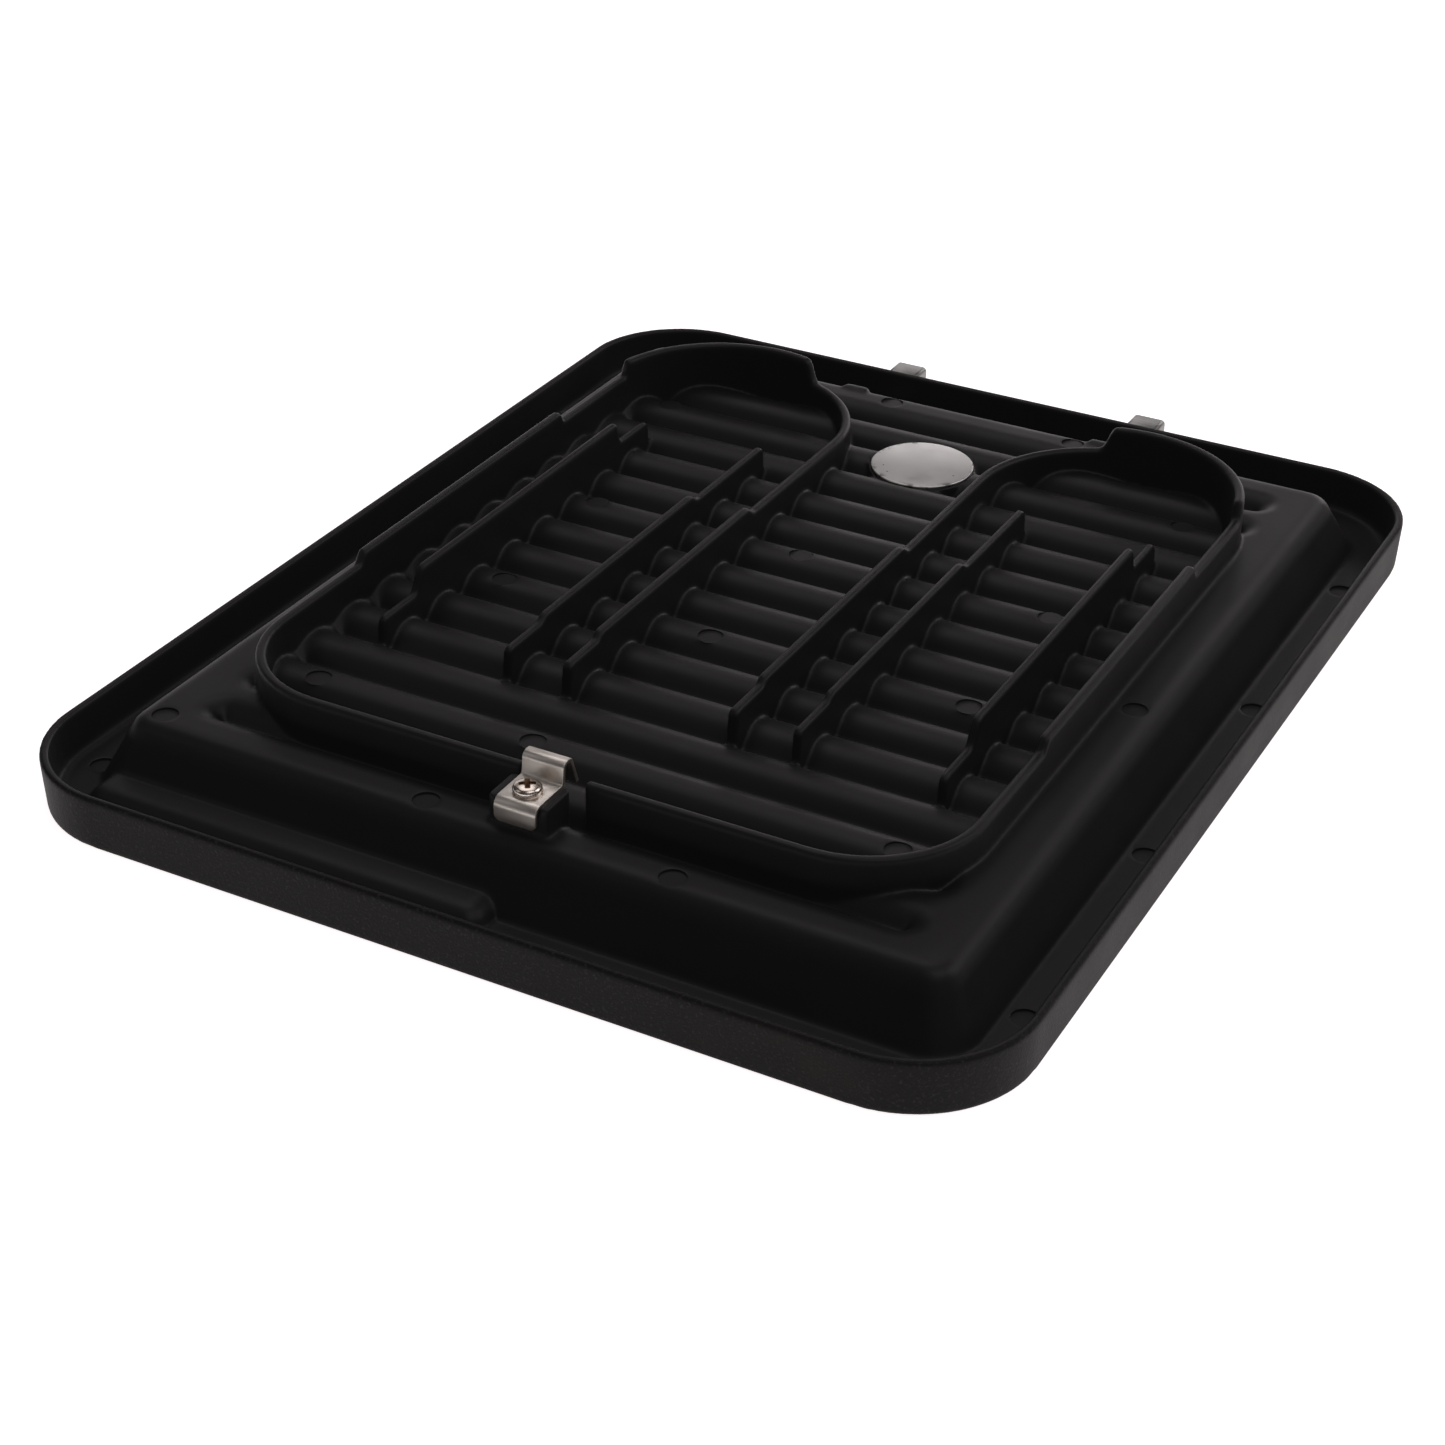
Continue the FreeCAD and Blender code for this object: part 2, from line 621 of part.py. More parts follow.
def cross_recess(x, y, top):
    """Tapered cross for the driver, cut into a head whose top is at z = top."""
    above = top + 1.0
    floor = top - RECESS_DEPTH
    wing = [(y - RECESS_SPAN / 2, above), (y - RECESS_SPAN / 2, top), (y - RECESS_ROOT_SPAN / 2, floor),
            (y + RECESS_ROOT_SPAN / 2, floor), (y + RECESS_SPAN / 2, top), (y + RECESS_SPAN / 2, above)]
    first = polygon_prism(wing, x - RECESS_WING / 2, x + RECESS_WING / 2)
    second = first.copy()
    second.rotate(vec(x, y, 0), vec(0, 0, 1), 90)
    cross = fuse(first, second, cylinder(x, y, floor, above, RECESS_CENTRE))
    cross.rotate(vec(x, y, 0), vec(0, 0, 1), RECESS_TURN)
    return cross


def pan_head_screw(x, y, seat_z, length):
    """Domed pan head with a cross recess, and a plain shank below it."""
    top = seat_z + SCREW_HEAD_HEIGHT
    dome_radius = (SCREW_HEAD_RADIUS ** 2 + SCREW_DOME_DROP ** 2) / (2 * SCREW_DOME_DROP)
    dome = Part.makeSphere(dome_radius, vec(x, y, top - dome_radius))
    head = cylinder(x, y, seat_z, top, SCREW_HEAD_RADIUS).common(dome)
    head = head.makeFillet(SCREW_HEAD_ROUND, edges_at(head, top - SCREW_DOME_DROP))
    shank = cylinder(x, y, seat_z - length, seat_z, SCREW_SHANK_RADIUS)
    return fuse(head, shank).cut(cross_recess(x, y, top))


def clip_screw():
    return pan_head_screw(0, CLIP_SCREW_Y, SEAT_Z + SHEET, CLIP_SCREW_LENGTH)


def hook(x):
    """Neck in the trough, step up outside the skirt, and a tongue with both sides folded down."""
    neck_z = NECK_TOP_Z - SHEET / 2
    top_z = TONGUE_TOP_Z - SHEET / 2
    line = [(NECK_START_Y, neck_z), (HOOK_STEP_Y, neck_z), (HOOK_STEP_Y, top_z), (TONGUE_TIP_Y, top_z)]
    strip = bent_strip(line, HOOK_BENDS, NECK_WIDTH)
    half = TONGUE_WIDTH / 2
    fold_z = TONGUE_TOP_Z - TONGUE_FLANGE
    tongue = box((-half, half), (TONGUE_START_Y, TONGUE_TIP_Y), (fold_z, TONGUE_TOP_Z))
    folds = [e for e in edges_at(tongue, TONGUE_TOP_Z) if e.BoundBox.YLength > 5]
    tongue = tongue.makeFillet(TONGUE_CORNER, folds)
    inner = half - SHEET
    inside_y = (TONGUE_START_Y - 1, TONGUE_TIP_Y + 1)
    tongue = tongue.cut(box((-inner, inner), inside_y, (fold_z - 1, TONGUE_TOP_Z - SHEET)))
    whole = fuse(strip, tongue)
    whole.translate(vec(x, 0, 0))
    return whole.cut(cylinder(x, HOOK_SCREW_Y, NECK_TOP_Z - SHEET - 1, NECK_TOP_Z + 1, SCREW_CLEAR_RADIUS))


def hook_screw(x):
    return pan_head_screw(x, HOOK_SCREW_Y, NECK_TOP_Z, HOOK_SCREW_LENGTH)


NODES = {
    "plate_casting": plate_casting,
    "sensor_disc": sensor_disc,
    "front_clip": front_clip,
    "clip_screw": clip_screw,
    "hook_left": lambda: hook(-HOOK_X),
    "hook_right": lambda: hook(HOOK_X),
    "hook_screw_left": lambda: hook_screw(-HOOK_X),
    "hook_screw_right": lambda: hook_screw(HOOK_X),
}

os.makedirs("parts", exist_ok=True)
for name, make in NODES.items():
    shape = make()
    shape.translate(vec(0, ORIGIN_Y, 0))
    shape.exportStep("parts/" + name + ".step")
    extent = shape.optimalBoundingBox()
    print(name, "solids", len(shape.Solids), "valid", shape.isValid(), "volume", round(shape.Volume, 1),
          "x", round(extent.XMin, 2), round(extent.XMax, 2), "y", round(extent.YMin, 2),
          round(extent.YMax, 2), "z", round(extent.ZMin, 2), round(extent.ZMax, 2))
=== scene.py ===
import math

import bmesh
import bpy
import numpy as np
from mathutils import Matrix, Vector


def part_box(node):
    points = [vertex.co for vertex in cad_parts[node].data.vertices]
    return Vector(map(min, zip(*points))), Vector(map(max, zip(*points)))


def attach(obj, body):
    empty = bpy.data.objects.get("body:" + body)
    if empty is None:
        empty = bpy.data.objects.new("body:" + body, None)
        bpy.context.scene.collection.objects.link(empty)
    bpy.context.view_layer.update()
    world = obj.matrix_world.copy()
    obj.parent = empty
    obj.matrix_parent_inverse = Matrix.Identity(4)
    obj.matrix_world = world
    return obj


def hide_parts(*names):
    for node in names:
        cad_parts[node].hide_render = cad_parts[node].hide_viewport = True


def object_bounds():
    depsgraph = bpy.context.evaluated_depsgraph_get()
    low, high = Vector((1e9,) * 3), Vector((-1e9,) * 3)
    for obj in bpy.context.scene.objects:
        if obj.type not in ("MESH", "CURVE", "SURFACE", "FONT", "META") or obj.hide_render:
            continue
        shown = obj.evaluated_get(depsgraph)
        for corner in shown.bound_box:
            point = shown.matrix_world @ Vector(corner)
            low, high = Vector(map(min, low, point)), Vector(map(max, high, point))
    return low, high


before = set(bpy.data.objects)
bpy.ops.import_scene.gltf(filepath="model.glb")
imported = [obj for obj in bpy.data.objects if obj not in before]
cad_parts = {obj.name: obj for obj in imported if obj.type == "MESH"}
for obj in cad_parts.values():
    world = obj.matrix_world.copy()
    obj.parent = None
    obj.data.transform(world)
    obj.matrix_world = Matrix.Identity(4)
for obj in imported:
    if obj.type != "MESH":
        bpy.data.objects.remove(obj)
CAD_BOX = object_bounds()

# Cooking plate of a contact grill, lying heater side up. Metres; +Y points at the hook edge.
MM = 0.001
plate_low, plate_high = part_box("plate_casting")
PLATE_CENTRE = Vector(((plate_low.x + plate_high.x) / 2, (plate_low.y + plate_high.y) / 2, 0))
FLOOR_Z = CAD_BOX[0].z

# Camera: where it looks, measured from the plate's centre, and from how far
VIEW_YAW = math.radians(27.77)
VIEW_PITCH = math.radians(30.92)
VIEW_ROLL = math.radians(0.80)
VIEW_DISTANCE = 0.696
VIEW_AIM = PLATE_CENTRE + Vector((0.00285, -0.03295, 0))
LENS_MM = 70.35
SENSOR_MM = 36

# Casting skin: the CAD shape, softened as a die casting is, more on its edges than in its hollows
VOXEL = 0.5 * MM
STEP_SHARE = 0.5
FIRST_STEPS = 2
EDGE_STEPS = 5
HOLLOW_SHARE = 0.85
HOLLOW_GAIN = 14
HOLLOW_SPREAD = 3
CASTING_FACES = 190000
CASTING_SHARP = math.radians(50)

# Ejector marks: flat discs, cut crisp after the softening; (x, y) in mm about the plate's centre
MARK_RADIUS = 3.2 * MM
MARK_SINK = 0.6 * MM
MARK_PAD = 1.6 * MM
MARK_CLEAR = 2.0 * MM
MARK_SIDES = 48
RIDGE_TOP = 18.75 * MM
TROUGH_FLOOR = 3.0 * MM
TOP_MARKS = [
    (-98, -121), (-24.5, -122.3), (38.5, -122.5), (99.5, -7.5), (-25, 122.3), (31, 122.3),
    (-77, -89), (-17, -89), (76, -89), (-65, -24.5), (-5, -25), (64.5, -25),
    (-66.5, 25), (-5, 24.5), (64.5, 25), (-80, 89.5), (76, 89),
]
FLOOR_MARKS = [(116.8, 103.6), (116.8, 32.4), (116.8, -41.9), (116.8, -112), (-113.8, -126.6)]

# Skirt: the corner radius of the plate, and how far inside the outline its outer face begins
CORNER_RADIUS = 29.2 * MM
SKIRT_EDGE = (1.4 * MM, 0.7 * MM)

# Small parts: corners closer than WELD are one, flatter joints than FLAT are dissolved
WELD = 1e-6
FLAT = math.radians(1)
BEVEL_FROM = math.radians(35)
PART_SHARP = math.radians(40)

# Contact disc: its smudged rim begins and is full at these radii
DISC_RIM = (12.4 * MM, 13.9 * MM)

# Screw heads: depth below the top from where the recess turns dark brown, its reach, half the width
# of its arms, its turn
RECESS_DEPTHS = (0.35 * MM, 0.8 * MM)
RECESS_REACH = (2.15 * MM, 1.95 * MM)
RECESS_HALF = 0.72 * MM
RECESS_EDGE = 0.2 * MM
RECESS_TURN = math.radians(33)

# Colours of the coating, darkest and palest, then its pits, paint specks, spray grain, wear, and a
# faint painted glow that lifts its shadows
COATING = ((0.0042, 0.0037, 0.0039, 1), (0.0062, 0.0054, 0.0053, 1))
COATING_PIT = (0.0008, 0.0007, 0.0007, 1)
PAINT_SPECK = (0.16, 0.15, 0.145, 1)
SPRAY_SPECK = (0.020, 0.018, 0.018, 1)
SKIRT_WEAR = (0.013, 0.0105, 0.0085, 1)
SHADOW_LIFT_GLOW = (0.0021, 0.0021, 0.0021, 1)

# Colours of the bare metals
DISC_METAL = ((0.43, 0.43, 0.42, 1), (0.54, 0.54, 0.53, 1))
DISC_PIT = (0.10, 0.10, 0.10, 1)
DISC_SMUDGE = (0.16, 0.155, 0.15, 1)
SCREW_METAL = ((0.56, 0.50, 0.445, 1), (0.74, 0.67, 0.60, 1))
SCREW_RECESS_BROWN = (0.16, 0.095, 0.05, 1)
CLIP_METAL = ((0.56, 0.525, 0.48, 1), (0.66, 0.625, 0.58, 1))
HOOK_METAL = ((0.165, 0.165, 0.162, 1), (0.20, 0.20, 0.196, 1))

# Stage: a glowing pale floor inside a tent of soft, slightly warm lights
FLOOR_GLOW = 0.95
FLOOR_HALF = 4.0
FLOOR_COLOUR = (0.62, 0.62, 0.62, 1)
WARM = (1.0, 0.945, 0.95)
SOFTBOX_DISTANCE = 1.6
AMBIENT = 0.05


def make_camera():
    """The camera, low in front of the clip edge and looking down over the plate."""
    data = bpy.data.cameras.new("camera")
    data.lens = LENS_MM
    data.sensor_width = SENSOR_MM
    data.clip_start = 0.01
    data.clip_end = 50
    camera = bpy.data.objects.new("camera", data)
    bpy.context.scene.collection.objects.link(camera)
    forward = Vector((
        -math.sin(VIEW_YAW) * math.cos(VIEW_PITCH),
        math.cos(VIEW_YAW) * math.cos(VIEW_PITCH),
        -math.sin(VIEW_PITCH),
    ))
    turn = forward.to_track_quat("-Z", "Y").to_matrix().to_4x4() @ Matrix.Rotation(VIEW_ROLL, 4, "Z")
    camera.matrix_world = Matrix.Translation(VIEW_AIM - forward * VIEW_DISTANCE) @ turn
    bpy.context.scene.camera = camera


# ---- node material helpers ----------------------------------------------------------------------


class Paint:
    """A node tree with short calls for the nodes used here."""

    def __init__(self, name):
        self.material = bpy.data.materials.new(name)
        self.material.use_nodes = True
        self.tree = self.material.node_tree
        self.shader = self.tree.nodes["Principled BSDF"]
        self.place = self.node("ShaderNodeTexCoord").outputs["Object"]

    def node(self, kind, **settings):
        made = self.tree.nodes.new(kind)
        for key, value in settings.items():
            setattr(made, key, value)
        return made

    def link(self, source, target):
        self.tree.links.new(source, target)

    def set(self, socket, value):
        if isinstance(value, bpy.types.NodeSocket):
            self.link(value, socket)
        else:
            socket.default_value = value

    def noise(self, scale, detail, rough, place=None):
        made = self.node("ShaderNodeTexNoise")
        self.link(place or self.place, made.inputs["Vector"])
        made.inputs["Scale"].default_value = scale
        made.inputs["Detail"].default_value = detail
        made.inputs["Roughness"].default_value = rough
        return made.outputs["Fac"]

    def stretch(self, sx, sy, sz, turn=0.0):
        made = self.node("ShaderNodeMapping")
        self.link(self.place, made.inputs["Vector"])
        made.inputs["Scale"].default_value = (sx, sy, sz)
        made.inputs["Rotation"].default_value = (0, 0, turn)
        return made.outputs["Vector"]

    def spread(self, value, low, high, to_low=0.0, to_high=1.0):
        """Map low..high to to_low..to_high, clamped."""
        made = self.node("ShaderNodeMapRange")
        self.link(value, made.inputs["Value"])
        limits = {"From Min": low, "From Max": high, "To Min": to_low, "To Max": to_high}
        for key, number in limits.items():
            self.set(made.inputs[key], number)
        return made.outputs["Result"]

    def math(self, operation, a, b=0.0):
        made = self.node("ShaderNodeMath", operation=operation)
        self.set(made.inputs[0], a)
        self.set(made.inputs[1], b)
        return made.outputs[0]

    def mix(self, factor, a, b):
        made = self.node("ShaderNodeMix", data_type="RGBA")
        self.set(made.inputs["Factor"], factor)
        self.set(made.inputs["A"], a)
        self.set(made.inputs["B"], b)
        return made.outputs["Result"]

    def vector(self, operation, a, b=(0, 0, 0)):
        made = self.node("ShaderNodeVectorMath", operation=operation)
        self.set(made.inputs[0], a)
        self.set(made.inputs[1], b)
        return made.outputs["Value" if operation == "LENGTH" else "Vector"]

    def specks(self, scale, radius, share):
        """Mask of tiny round specks, seen in plan: one spot in a share of the grid's cells."""
        made = self.node("ShaderNodeTexVoronoi", voronoi_dimensions="2D")
        self.link(self.place, made.inputs["Vector"])
        made.inputs["Scale"].default_value = scale
        spot = self.math("LESS_THAN", made.outputs["Distance"], radius * scale)
        pick = self.math("LESS_THAN", made.outputs["Color"], share)
        return self.math("MULTIPLY", spot, pick)

    def bump(self, height, strength, distance, normal=None):
        made = self.node("ShaderNodeBump")
        self.link(height, made.inputs["Height"])
        made.inputs["Strength"].default_value = strength
        made.inputs["Distance"].default_value = distance
        if normal is not None:
            self.link(normal, made.inputs["Normal"])
        return made.outputs["Normal"]

    def finish(self, **values):
        """Fill the shader's inputs and give the material."""
        names = {
            "colour": "Base Color", "metal": "Metallic", "rough": "Roughness", "normal": "Normal",
            "specular": "Specular IOR Level", "glow": "Emission Color",
            "glow_strength": "Emission Strength",
        }
        for key, value in values.items():
            self.set(self.shader.inputs[names[key]], value)
        return self.material

    def radius(self, centre):
        """Distance in plan from a point, and the way from that point."""
        offset = self.vector("SUBTRACT", self.place, tuple(centre))
        return self.vector("LENGTH", self.vector("MULTIPLY", offset, (1, 1, 0))), offset


def skirt_mask(p):
    """1 on the outer face of the skirt and 0 inside it, from the distance to the plate's outline."""
    half = (plate_high - plate_low) / 2
    core = (half.x - CORNER_RADIUS, half.y - CORNER_RADIUS, 1)
    offset = p.vector("ABSOLUTE", p.vector("SUBTRACT", p.place, tuple(PLATE_CENTRE)))
    beyond = p.vector("MAXIMUM", p.vector("SUBTRACT", offset, core), (0, 0, 0))
    reach = p.vector("LENGTH", p.vector("MULTIPLY", beyond, (1, 1, 0)))
    return p.spread(reach, CORNER_RADIUS - SKIRT_EDGE[0], CORNER_RADIUS - SKIRT_EDGE[1])


def coated_casting():
    """Sprayed satin black non-stick coating: fine grain, coarser and duller on the skirt."""
    p = Paint("black_coating")
    skirt = skirt_mask(p)
    grain = p.noise(2600, 2.0, 0.6)
    mottle = p.noise(55, 4.0, 0.55)
    colour = p.mix(mottle, *COATING)
    spots = p.math("MULTIPLY", skirt, p.spread(p.noise(1300, 2.0, 0.6), 0.56, 0.72))
    colour = p.mix(spots, colour, SPRAY_SPECK)
    worn = p.math("MULTIPLY", skirt, p.spread(p.noise(38, 4.0, 0.6), 0.55, 0.75))
    colour = p.mix(p.math("MULTIPLY", worn, 0.5), colour, SKIRT_WEAR)
    colour = p.mix(p.specks(70, 0.22 * MM, 0.16), colour, COATING_PIT)
    colour = p.mix(p.specks(33, 0.30 * MM, 0.10), colour, PAINT_SPECK)
    rough = p.math("ADD", p.spread(mottle, 0.3, 0.7, 0.44, 0.50), p.math("MULTIPLY", skirt, 0.06))
    gloss = p.spread(skirt, 0, 1, 0.17, 0.075)
    fine = p.bump(grain, 0.12, 0.04 * MM)
    soft = p.bump(p.noise(420, 3.0, 0.5), 0.08, 0.2 * MM, fine)
    spray = p.bump(p.math("MULTIPLY", p.noise(1500, 2.0, 0.7), skirt), 0.5, 0.2 * MM, soft)
    # The coating glows faintly all over: painted light that lifts its shaded parts.
    return p.finish(
        colour=colour, rough=rough, normal=spray, specular=gloss, glow=SHADOW_LIFT_GLOW, glow_strength=1.0,
    )


def ground_metal():
    """Bare ground aluminium: fine turning lines, cloudy gloss, a few pits and a smudged rim."""
    low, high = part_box("sensor_disc")
    p = Paint("ground_metal")
    radius, _ = p.radius((low + high) / 2)
    rim = p.spread(radius, *DISC_RIM)
    smudge = p.math("MULTIPLY", rim, p.spread(p.noise(260, 5.0, 0.65), 0.53, 0.60))
    lines = p.noise(1.0, 2.0, 0.5, p.stretch(60, 2600, 60, 0.5))
    cloud = p.noise(160, 4.0, 0.6)
    colour = p.mix(cloud, *DISC_METAL)
    colour = p.mix(p.specks(300, 0.26 * MM, 0.14), colour, DISC_PIT)
    colour = p.mix(smudge, colour, DISC_SMUDGE)
    rough = p.spread(cloud, 0.3, 0.7, 0.32, 0.46)
    return p.finish(colour=colour, metal=1.0, rough=rough, normal=p.bump(lines, 0.15, 0.04 * MM))


def sheet_steel(name, dull, fresh):
    """Rolled steel sheet with a faint grain along X, clouded between two colours."""
    p = Paint(name)
    lines = p.noise(1.0, 3.0, 0.6, p.stretch(90, 2400, 2400))
    cloud = p.noise(220, 3.0, 0.6)
    rough = p.spread(lines, 0.3, 0.7, 0.34, 0.46)
    grain = p.bump(lines, 0.18, 0.04 * MM)
    return p.finish(colour=p.mix(cloud, dull, fresh), metal=1.0, rough=rough, normal=grain)


def plated_screw(node):
    """Plated steel with dull patches, and dark brown colour in and along the cross recess, full below
    a set depth.
    """
    low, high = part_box(node)
    top = Vector(((low.x + high.x) / 2, (low.y + high.y) / 2, high.z))
    p = Paint("plated_" + node)
    radius, offset = p.radius(top)
    depth = p.vector("LENGTH", p.vector("MULTIPLY", offset, (0, 0, 1)))
    # Dark brown in the recess below a set depth and along the cross's arms, within a reach of the
    # head's middle.
    recess_brown = p.spread(depth, *RECESS_DEPTHS)
    turned = p.node("ShaderNodeVectorRotate", rotation_type="Z_AXIS")
    p.link(offset, turned.inputs["Vector"])
    turned.inputs["Angle"].default_value = -RECESS_TURN
    for across in ((1, 0, 0), (0, 1, 0)):
        aside = p.vector("LENGTH", p.vector("MULTIPLY", turned.outputs["Vector"], across))
        recess_brown = p.math("MAXIMUM", recess_brown, p.spread(aside, RECESS_HALF, RECESS_HALF - RECESS_EDGE))
    recess_brown = p.math("MULTIPLY", recess_brown, p.spread(radius, *RECESS_REACH))
    cloud = p.noise(700, 4.0, 0.6)
    colour = p.mix(cloud, *SCREW_METAL)
    colour = p.mix(recess_brown, colour, SCREW_RECESS_BROWN)
    rough = p.math("ADD", p.spread(cloud, 0.3, 0.7, 0.18, 0.32), p.math("MULTIPLY", recess_brown, 0.3))
    return p.finish(colour=colour, metal=1.0, rough=rough, normal=p.bump(cloud, 0.1, 0.05 * MM))


# ---- meshes -------------------------------------------------------------------------------------


def new_object(name, mesh):
    obj = bpy.data.objects.new(name, mesh)
    bpy.context.scene.collection.objects.link(obj)
    return obj


def bake_modifiers(obj):
    """Apply every modifier."""
    graph = bpy.context.evaluated_depsgraph_get()
    mesh = bpy.data.meshes.new_from_object(obj.evaluated_get(graph), depsgraph=graph)
    old = obj.data
    obj.modifiers.clear()
    obj.data = mesh
    bpy.data.meshes.remove(old)


def welded_copy(node, name):
    """A copy of a CAD node's mesh with its split corners joined again."""
    made = bmesh.new()
    made.from_mesh(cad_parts[node].data)
    bmesh.ops.remove_doubles(made, verts=made.verts, dist=WELD)
    mesh = bpy.data.meshes.new(name)
    made.to_mesh(mesh)
    made.free()
    return new_object(name, mesh)


def stand_for(obj, node, material):
    """Finish a piece that replaces a CAD node."""
    obj.data.materials.clear()
    obj.data.materials.append(material)
    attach(obj, "root")
    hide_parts(node)


class Softener:
    """Smooths a mesh by moving corners towards the mean of their neighbours."""

    def __init__(self, mesh):
        self.mesh = mesh
        count = len(mesh.vertices)
        places = np.empty(count * 3)
        mesh.vertices.foreach_get("co", places)
        self.places = places.reshape(count, 3)
        pairs = np.empty(len(mesh.edges) * 2, dtype=np.int64)
        mesh.edges.foreach_get("vertices", pairs)
        pairs = pairs.reshape(-1, 2)
        self.near = np.concatenate([pairs[:, 0], pairs[:, 1]])
        self.far = np.concatenate([pairs[:, 1], pairs[:, 0]])
        self.ring = np.bincount(self.near, minlength=count)

    def mean(self, values):
        """Mean of each corner's neighbours."""
        return np.bincount(self.near, weights=values[self.far], minlength=len(values)) / self.ring

    def pull(self):
        """From each corner to the mean place of its neighbours."""
        return np.stack([self.mean(self.places[:, axis]) for axis in range(3)], axis=1) - self.places

    def steps(self, count, share):
        """Move every corner by a share of its pull, count times."""
        for _ in range(count):
            self.places += self.pull() * np.reshape(share, (-1, 1))

    def hollowness(self):
        """1 in the inside corners of the casting, 0 on flats and outside edges, with soft borders."""
        self.store()
        normals = np.empty(len(self.places) * 3)
        self.mesh.vertices.foreach_get("normal", normals)
        rise = np.einsum("ij,ij->i", self.pull(), normals.reshape(-1, 3)) / VOXEL
        share = np.clip(rise * HOLLOW_GAIN, 0, 1)
        for _ in range(HOLLOW_SPREAD):
            share = np.maximum(share, self.mean(share))
        return share

    def store(self):
        """Write the places back to the mesh."""
        self.mesh.vertices.foreach_set("co", self.places.ravel())
        self.mesh.update()


def disc_tool(places, low, high):
    """One mesh with an upright cylinder at each place."""
    made = bmesh.new()
    for x, y in places:
        middle = PLATE_CENTRE + Vector((x * MM, y * MM, (low + high) / 2))
        bmesh.ops.create_cone(
            made, cap_ends=True, segments=MARK_SIDES, radius1=MARK_RADIUS, radius2=MARK_RADIUS,
            depth=high - low, matrix=Matrix.Translation(middle),
        )
    mesh = bpy.data.meshes.new("disc_tool")
    made.to_mesh(mesh)
    made.free()
    return new_object("disc_tool", mesh)


def combine(obj, tool, operation):
    """Add the tool to the object or cut it out."""
    change = obj.modifiers.new("combine", "BOOLEAN")
    change.operation = operation
    change.solver = "MANIFOLD"
    change.object = tool
    bake_modifiers(obj)
    bpy.data.objects.remove(tool)


def ejector_marks(obj):
    """Discs sunk in ridges and trough; on a ridge each gets a pad, so that it is level all round."""
    face = RIDGE_TOP - MARK_SINK
    combine(obj, disc_tool(TOP_MARKS, face - MARK_PAD, face), "UNION")
    combine(obj, disc_tool(TOP_MARKS, face, face + MARK_CLEAR), "DIFFERENCE")
    face = TROUGH_FLOOR - MARK_SINK
    combine(obj, disc_tool(FLOOR_MARKS, face, face + MARK_PAD), "DIFFERENCE")


def cast_skin(material):
    """The casting with its edges and corners softened as poured metal is."""
    obj = welded_copy("plate_casting", "grill_plate")
    remesh = obj.modifiers.new("remesh", "REMESH")
    remesh.mode = "VOXEL"
    remesh.voxel_size = VOXEL
    bake_modifiers(obj)
    softener = Softener(obj.data)
    softener.steps(FIRST_STEPS, STEP_SHARE)
    softener.steps(EDGE_STEPS, STEP_SHARE * (1 - HOLLOW_SHARE * softener.hollowness()))
    softener.store()
    thin = obj.modifiers.new("thin", "DECIMATE")
    thin.ratio = CASTING_FACES / (2 * len(obj.data.polygons))
    bake_modifiers(obj)
    ejector_marks(obj)
    print("casting faces", len(obj.data.polygons))
    obj.data.shade_smooth()
    obj.data.set_sharp_from_angle(angle=CASTING_SHARP)
    stand_for(obj, "plate_casting", material)


def softened_part(node, name, material, width):
    """A small CAD piece with its sharp edges broken, as deburred metal is."""
    obj = welded_copy(node, name)
    made = bmesh.new()
    made.from_mesh(obj.data)
    bmesh.ops.dissolve_limit(made, angle_limit=FLAT, verts=made.verts, edges=made.edges)
    made.to_mesh(obj.data)
    made.free()
    bevel = obj.modifiers.new("bevel", "BEVEL")
    bevel.width = width
    bevel.segments = 2
    bevel.limit_method = "ANGLE"
    bevel.angle_limit = BEVEL_FROM
    bake_modifiers(obj)
    obj.data.shade_smooth()
    obj.data.set_sharp_from_angle(angle=PART_SHARP)
    stand_for(obj, node, material)


# ---- stage --------------------------------------------------------------------------------------


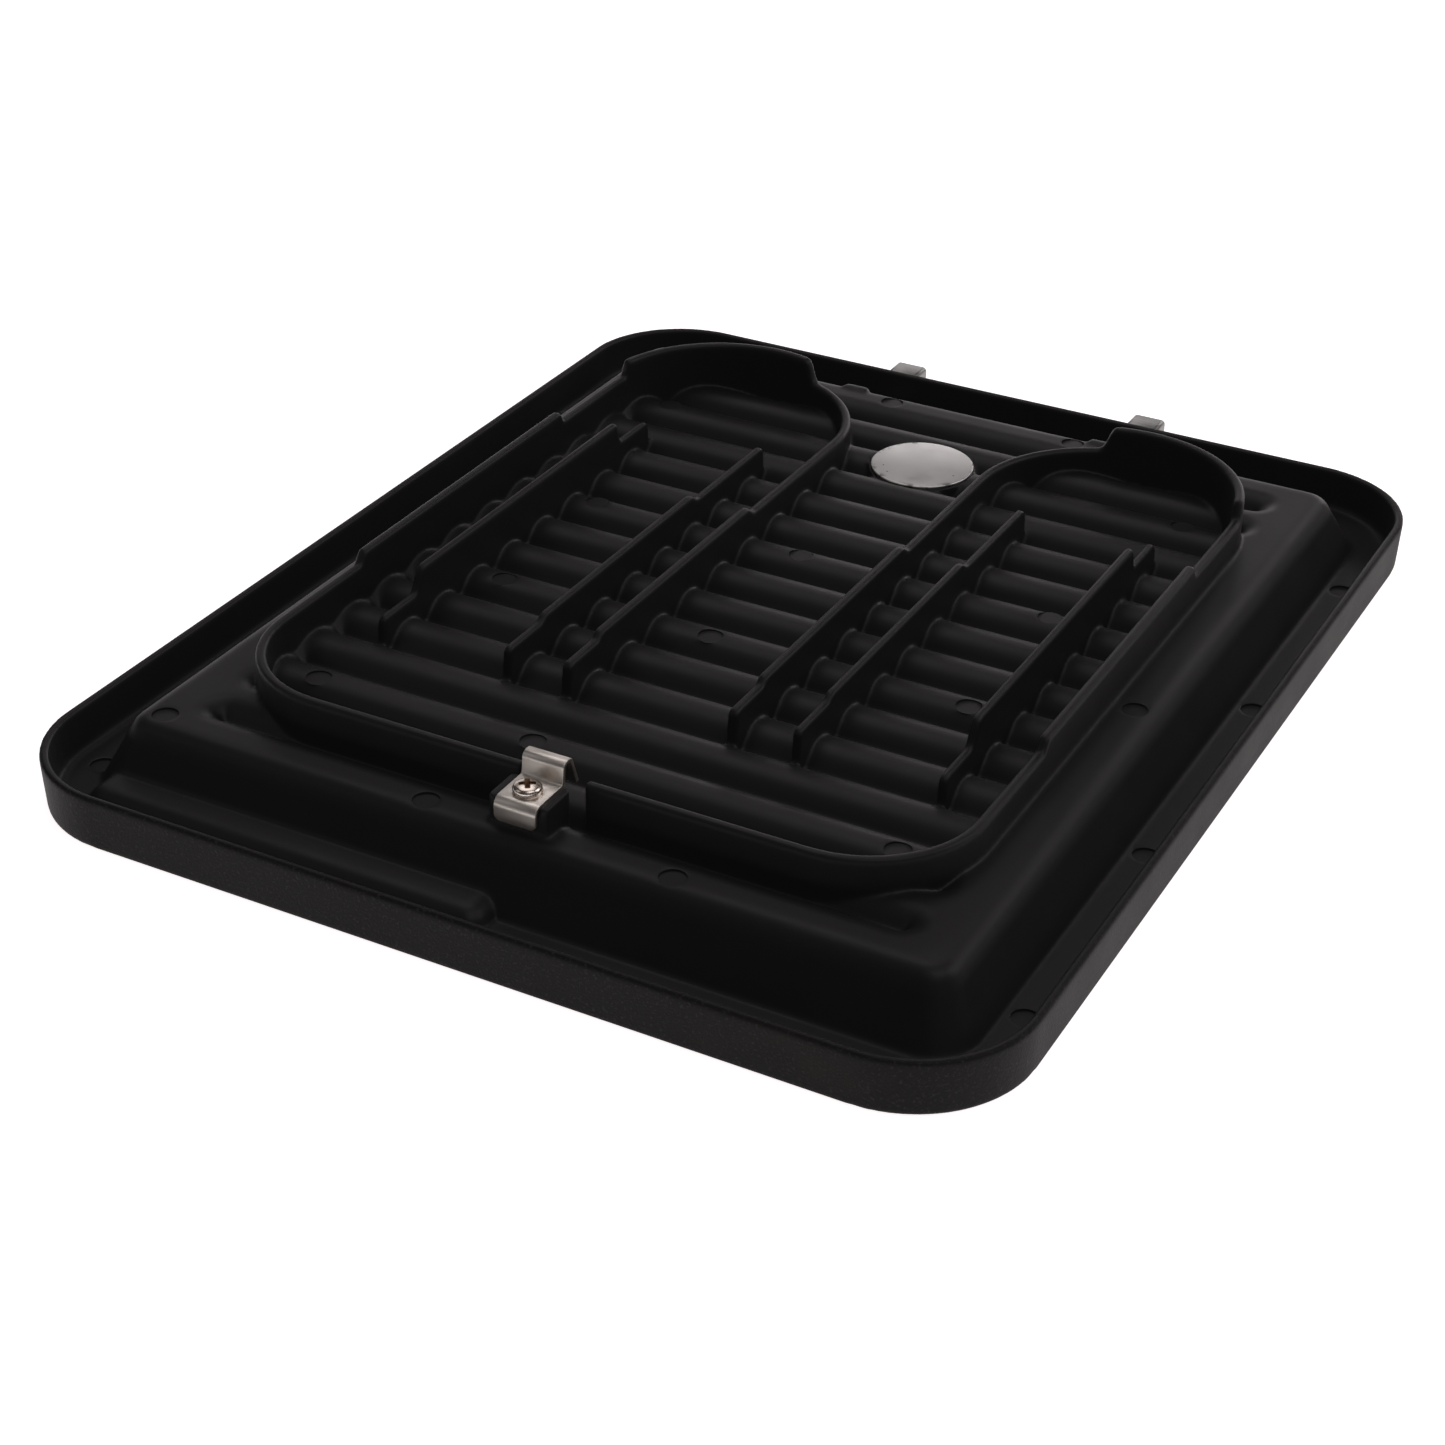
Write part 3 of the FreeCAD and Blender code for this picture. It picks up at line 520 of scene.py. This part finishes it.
def pale_floor():
    made = bmesh.new()
    bmesh.ops.create_grid(made, x_segments=8, y_segments=8, size=FLOOR_HALF)
    mesh = bpy.data.meshes.new("floor")
    made.to_mesh(mesh)
    made.free()
    floor = new_object("floor", mesh)
    floor.location.z = FLOOR_Z
    p = Paint("pale_floor")
    floor.data.materials.append(p.finish(
        colour=FLOOR_COLOUR, rough=0.9, specular=0.0, glow=(*WARM, 1), glow_strength=FLOOR_GLOW,
    ))


def softbox(name, azimuth, elevation, size, power):
    """Square light looking at the plate from azimuth degrees right of +Y and elevation degrees up."""
    turn = math.radians(azimuth)
    lift = math.radians(elevation)
    way = Vector((math.sin(turn) * math.cos(lift), math.cos(turn) * math.cos(lift), math.sin(lift)))
    data = bpy.data.lights.new(name, "AREA")
    data.energy = power
    data.color = WARM
    data.size = size
    light = bpy.data.objects.new(name, data)
    bpy.context.scene.collection.objects.link(light)
    light.location = way * SOFTBOX_DISTANCE
    light.rotation_mode = "QUATERNION"
    light.rotation_quaternion = (-way).to_track_quat("-Z", "Y")


def studio():
    """Tent of soft lights: strongest behind and above, low strips at the back for a sheen."""
    world = bpy.data.worlds.new("studio")
    bpy.context.scene.world = world
    world.use_nodes = True
    sky = world.node_tree.nodes["Background"].inputs
    sky["Color"].default_value = (*WARM, 1)
    sky["Strength"].default_value = AMBIENT
    softbox("back_right", 56, 36, 0.9, 6.0)
    softbox("top_back_left", -40, 62, 1.0, 5.0)
    softbox("top_front_right", 120, 62, 1.0, 5.0)
    softbox("front_left", -130, 36, 0.8, 0.9)
    softbox("back_strip_right", 5, 12, 0.55, 2.9)
    softbox("back_strip_left", -20, 12, 0.55, 1.65)
    softbox("left_strip", -50, 12, 0.8, 1.5)
    bpy.context.scene.view_settings.view_transform = "Standard"


make_camera()
cast_skin(coated_casting())
softened_part("sensor_disc", "contact_disc", ground_metal(), 0.12 * MM)
clip_steel = sheet_steel("clip_steel", *CLIP_METAL)
hook_steel = sheet_steel("hook_steel", *HOOK_METAL)
softened_part("front_clip", "latch_clip", clip_steel, 0.12 * MM)
softened_part("hook_left", "left_hook", hook_steel, 0.15 * MM)
softened_part("hook_right", "right_hook", hook_steel, 0.15 * MM)
for node in ("clip_screw", "hook_screw_left", "hook_screw_right"):
    softened_part(node, node + "_head", plated_screw(node), 0.08 * MM)
pale_floor()
studio()
